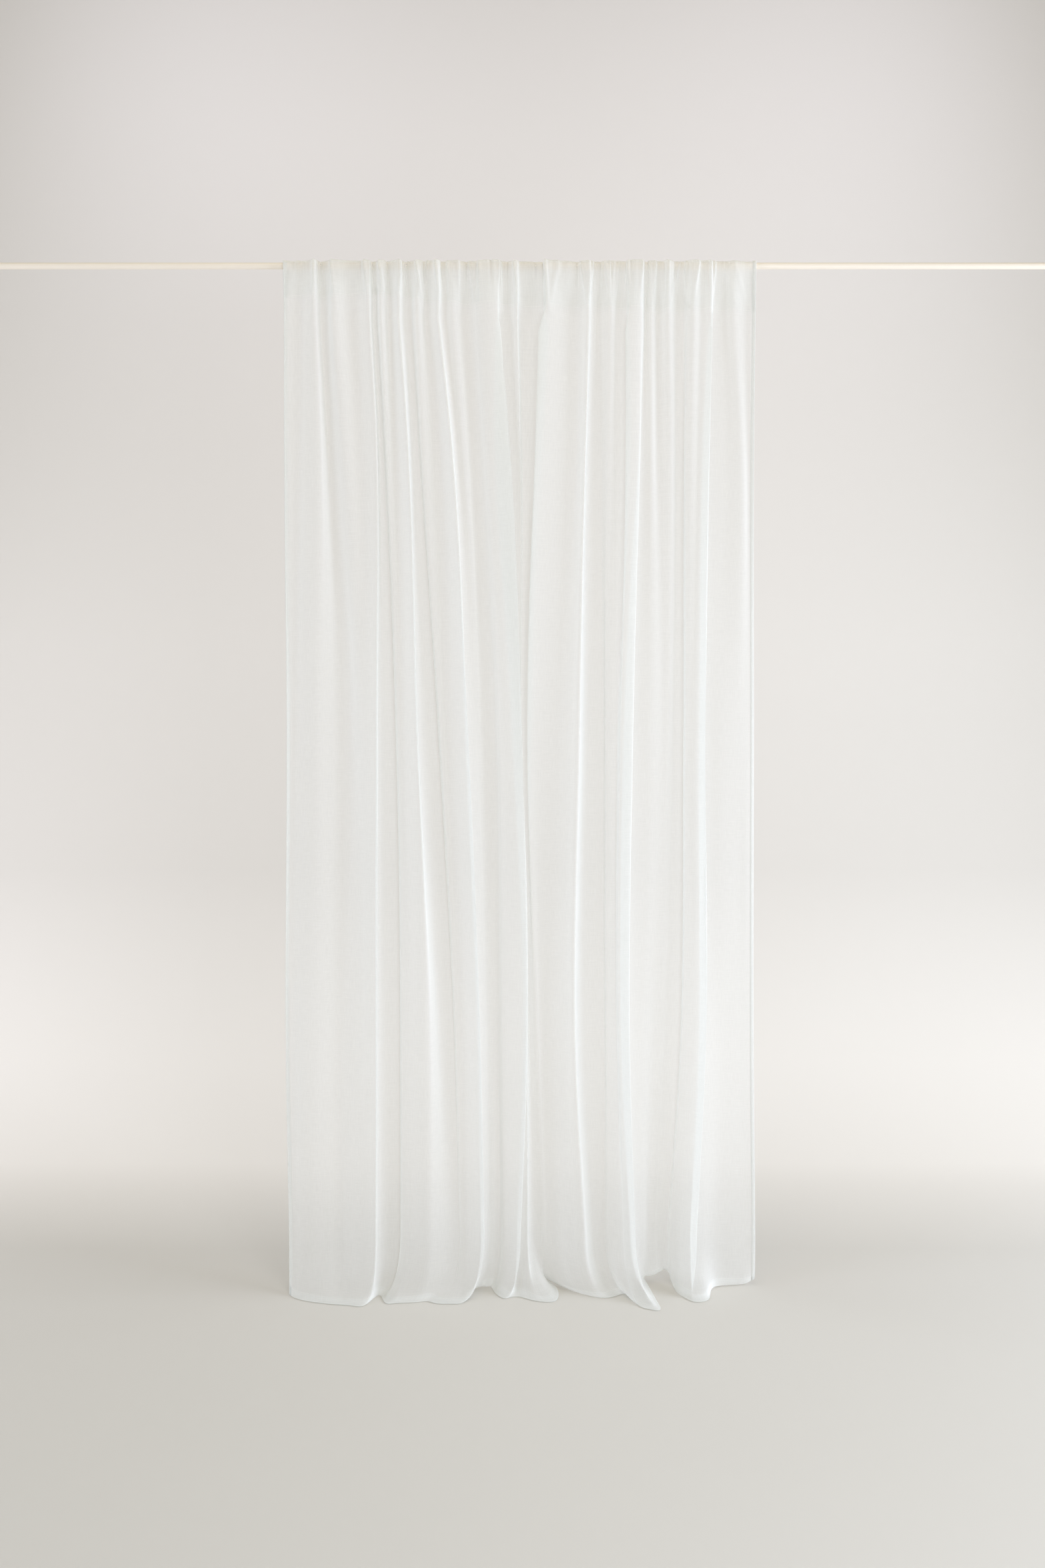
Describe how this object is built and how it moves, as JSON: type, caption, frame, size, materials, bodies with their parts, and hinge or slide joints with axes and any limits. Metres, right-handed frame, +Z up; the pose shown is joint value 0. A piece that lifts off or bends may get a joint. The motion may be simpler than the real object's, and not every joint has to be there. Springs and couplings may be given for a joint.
{
  "type": "sheer voile curtain on rod",
  "caption": "Long sheer off-white voile curtain panel with a rod-pocket heading, gathered on a plain round cream rod and just breaking on the floor.",
  "frame": {"origin": "middle of the rod's length, at the floor, in the middle of the depth that the folds take", "axes": "+X along the rod to the viewer's right, +Y away from the room towards the window, +Z up"},
  "size_m": [2.8, 0.1771, 2.6415],
  "materials": {
    "voile": "sheer plain-woven voile with slubbed yarns, matte",
    "cream_lacquer": "satin cream lacquer on a metal tube"
  },
  "bodies": {
    "root": {"voile_panel": "voile", "rod": "cream_lacquer"}
  },
  "joints": []
}
